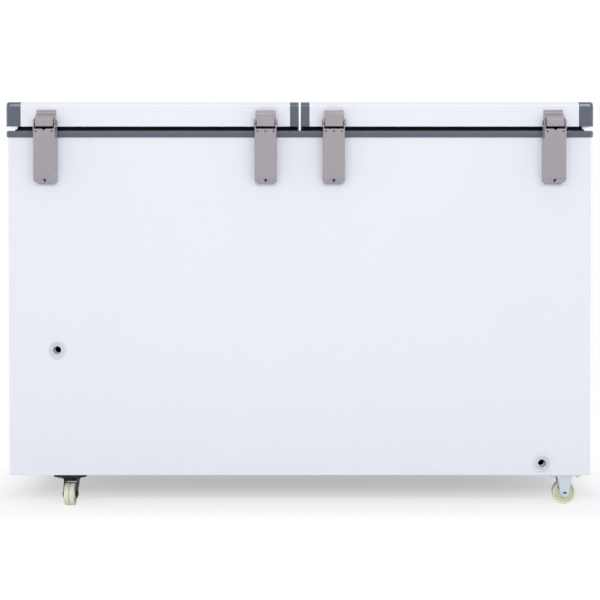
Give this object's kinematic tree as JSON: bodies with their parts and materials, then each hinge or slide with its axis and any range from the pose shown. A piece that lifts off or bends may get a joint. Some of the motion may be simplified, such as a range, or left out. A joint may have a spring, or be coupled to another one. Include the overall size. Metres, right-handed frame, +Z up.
{
  "type": "dual zone chest freezer",
  "caption": "Wide white chest freezer on castors with paired lids on spring hinges at the rear, a grey rim, grey lid ends and a drain outlet for each cold zone.",
  "frame": {"origin": "on the floor, in the middle of the freezer's footprint with hinges and handles", "axes": "+X to the right as seen from the front, +Y to the rear with the hinges, +Z up"},
  "size_m": [1.25, 0.69, 0.871],
  "materials": {
    "white_enamel": "satin",
    "grey_moulding": "satin",
    "light_moulding": "satin",
    "hinge_grey": "satin",
    "zinc_plate": "satin",
    "dark_zinc": "matte",
    "galvanised_sheet": "matte",
    "embossed_aluminium": "satin",
    "insulation_foam": "matte",
    "seal_black": "matte",
    "liner_white": "gloss",
    "nylon_cream": "satin",
    "compressor_black": "satin",
    "mount_rubber": "matte",
    "copper_tube": "satin",
    "lamp_lens": "gloss",
    "spring_steel": "satin",
    "coated_wire": "gloss"
  },
  "bodies": {
    "cabinet": {"outer_case": "white_enamel", "rear_panel": "white_enamel", "base_pan": "galvanised_sheet", "foam_body": "insulation_foam", "zone_liner_left": "embossed_aluminium", "zone_liner_right": "embossed_aluminium", "top_frame": "grey_moulding", "drain_outlet_left": "light_moulding", "drain_outlet_right": "light_moulding", "hinge_fasteners": "zinc_plate", "hinge_springs": "spring_steel", "compressor_tray": "galvanised_sheet", "compressor": "compressor_black", "compressor_mounts": "mount_rubber", "refrigerant_lines": "copper_tube", "evaporator_coils": "embossed_aluminium", "side_grille": "grey_moulding", "control_panel": "grey_moulding", "indicator_lamps": "lamp_lens", "castor_fasteners": "zinc_plate", "hinge_housing_left_outer": "hinge_grey", "hinge_housing_left_inner": "hinge_grey", "hinge_housing_right_inner": "hinge_grey", "hinge_housing_right_outer": "hinge_grey", "rigid_bracket_front": "zinc_plate", "swivel_plate_front": "dark_zinc", "rigid_bracket_rear": "zinc_plate", "swivel_plate_rear": "dark_zinc"},
    "lid_left": {"lid_skin_left": "white_enamel", "lid_outer_cap_left": "grey_moulding", "lid_inner_cap_left": "grey_moulding", "lid_liner_left": "liner_white", "lid_foam_left": "insulation_foam", "lid_gasket_left": "seal_black", "lid_handle_left": "grey_moulding", "hinge_leaf_left_outer": "hinge_grey", "hinge_leaf_left_inner": "hinge_grey"},
    "lock_left": {"lid_lock_left": "zinc_plate"},
    "knob_left": {"thermostat_knob_left": "light_moulding"},
    "hanging_basket_left": {"basket_left": "coated_wire"},
    "lid_right": {"lid_skin_right": "white_enamel", "lid_outer_cap_right": "grey_moulding", "lid_inner_cap_right": "grey_moulding", "lid_liner_right": "liner_white", "lid_foam_right": "insulation_foam", "lid_gasket_right": "seal_black", "lid_handle_right": "grey_moulding", "hinge_leaf_right_outer": "hinge_grey", "hinge_leaf_right_inner": "hinge_grey"},
    "lock_right": {"lid_lock_right": "zinc_plate"},
    "knob_right": {"thermostat_knob_right": "light_moulding"},
    "hanging_basket_right": {"basket_right": "coated_wire"},
    "swivel_front": {"swivel_fork_front": "dark_zinc", "swivel_axle_front": "dark_zinc"},
    "swivel_roller_front": {"swivel_wheel_front": "nylon_cream"},
    "rigid_roller_front": {"rigid_wheel_front": "nylon_cream"},
    "swivel_rear": {"swivel_fork_rear": "dark_zinc", "swivel_axle_rear": "dark_zinc"},
    "swivel_roller_rear": {"swivel_wheel_rear": "nylon_cream"},
    "rigid_roller_rear": {"rigid_wheel_rear": "nylon_cream"}
  },
  "joints": [
    {"name": "left_lid", "type": "hinge", "parent": "cabinet", "child": "lid_left", "pos_m": [-0.3136, 0.33, 0.8265], "axis": [-1, 0, 0], "range_deg": [0, 80], "stiffness_Nm_per_rad": 7.2, "springref_deg": 97.4},
    {"name": "left_lock", "type": "hinge", "parent": "lid_left", "child": "lock_left", "pos_m": [-0.3136, -0.335, 0.836], "axis": [0, 1, 0], "range_deg": [0, 90]},
    {"name": "left_thermostat", "type": "hinge", "parent": "cabinet", "child": "knob_left", "pos_m": [0.4448, -0.32, 0.218], "axis": [0, 1, 0], "range_deg": [0, 270]},
    {"name": "left_basket", "type": "slide", "parent": "cabinet", "child": "hanging_basket_left", "axis": [1, 0, 0], "range_m": [0, 0.266]},
    {"name": "right_lid", "type": "hinge", "parent": "cabinet", "child": "lid_right", "pos_m": [0.3136, 0.33, 0.8265], "axis": [-1, 0, 0], "range_deg": [0, 80], "stiffness_Nm_per_rad": 7.2, "springref_deg": 97.4},
    {"name": "right_lock", "type": "hinge", "parent": "lid_right", "child": "lock_right", "pos_m": [0.3136, -0.335, 0.836], "axis": [0, 1, 0], "range_deg": [0, 90]},
    {"name": "right_thermostat", "type": "hinge", "parent": "cabinet", "child": "knob_right", "pos_m": [0.5488, -0.32, 0.218], "axis": [0, 1, 0], "range_deg": [0, 270]},
    {"name": "right_basket", "type": "slide", "parent": "cabinet", "child": "hanging_basket_right", "axis": [-1, 0, 0], "range_m": [0, 0.266]},
    {"name": "front_swivel", "type": "hinge", "parent": "cabinet", "child": "swivel_front", "pos_m": [0.498, -0.24, 0.064], "axis": [0, 0, 1], "continuous": true},
    {"name": "front_swivel_wheel", "type": "hinge", "parent": "swivel_front", "child": "swivel_roller_front", "pos_m": [0.498, -0.218, 0.025], "axis": [1, 0, 0], "continuous": true},
    {"name": "front_rigid_wheel", "type": "hinge", "parent": "cabinet", "child": "rigid_roller_front", "pos_m": [-0.5775, -0.24, 0.025], "axis": [0, 1, 0], "continuous": true},
    {"name": "rear_swivel", "type": "hinge", "parent": "cabinet", "child": "swivel_rear", "pos_m": [0.498, 0.24, 0.064], "axis": [0, 0, 1], "continuous": true},
    {"name": "rear_swivel_wheel", "type": "hinge", "parent": "swivel_rear", "child": "swivel_roller_rear", "pos_m": [0.498, 0.262, 0.025], "axis": [1, 0, 0], "continuous": true},
    {"name": "rear_rigid_wheel", "type": "hinge", "parent": "cabinet", "child": "rigid_roller_rear", "pos_m": [-0.5775, 0.24, 0.025], "axis": [0, 1, 0], "continuous": true}
  ]
}
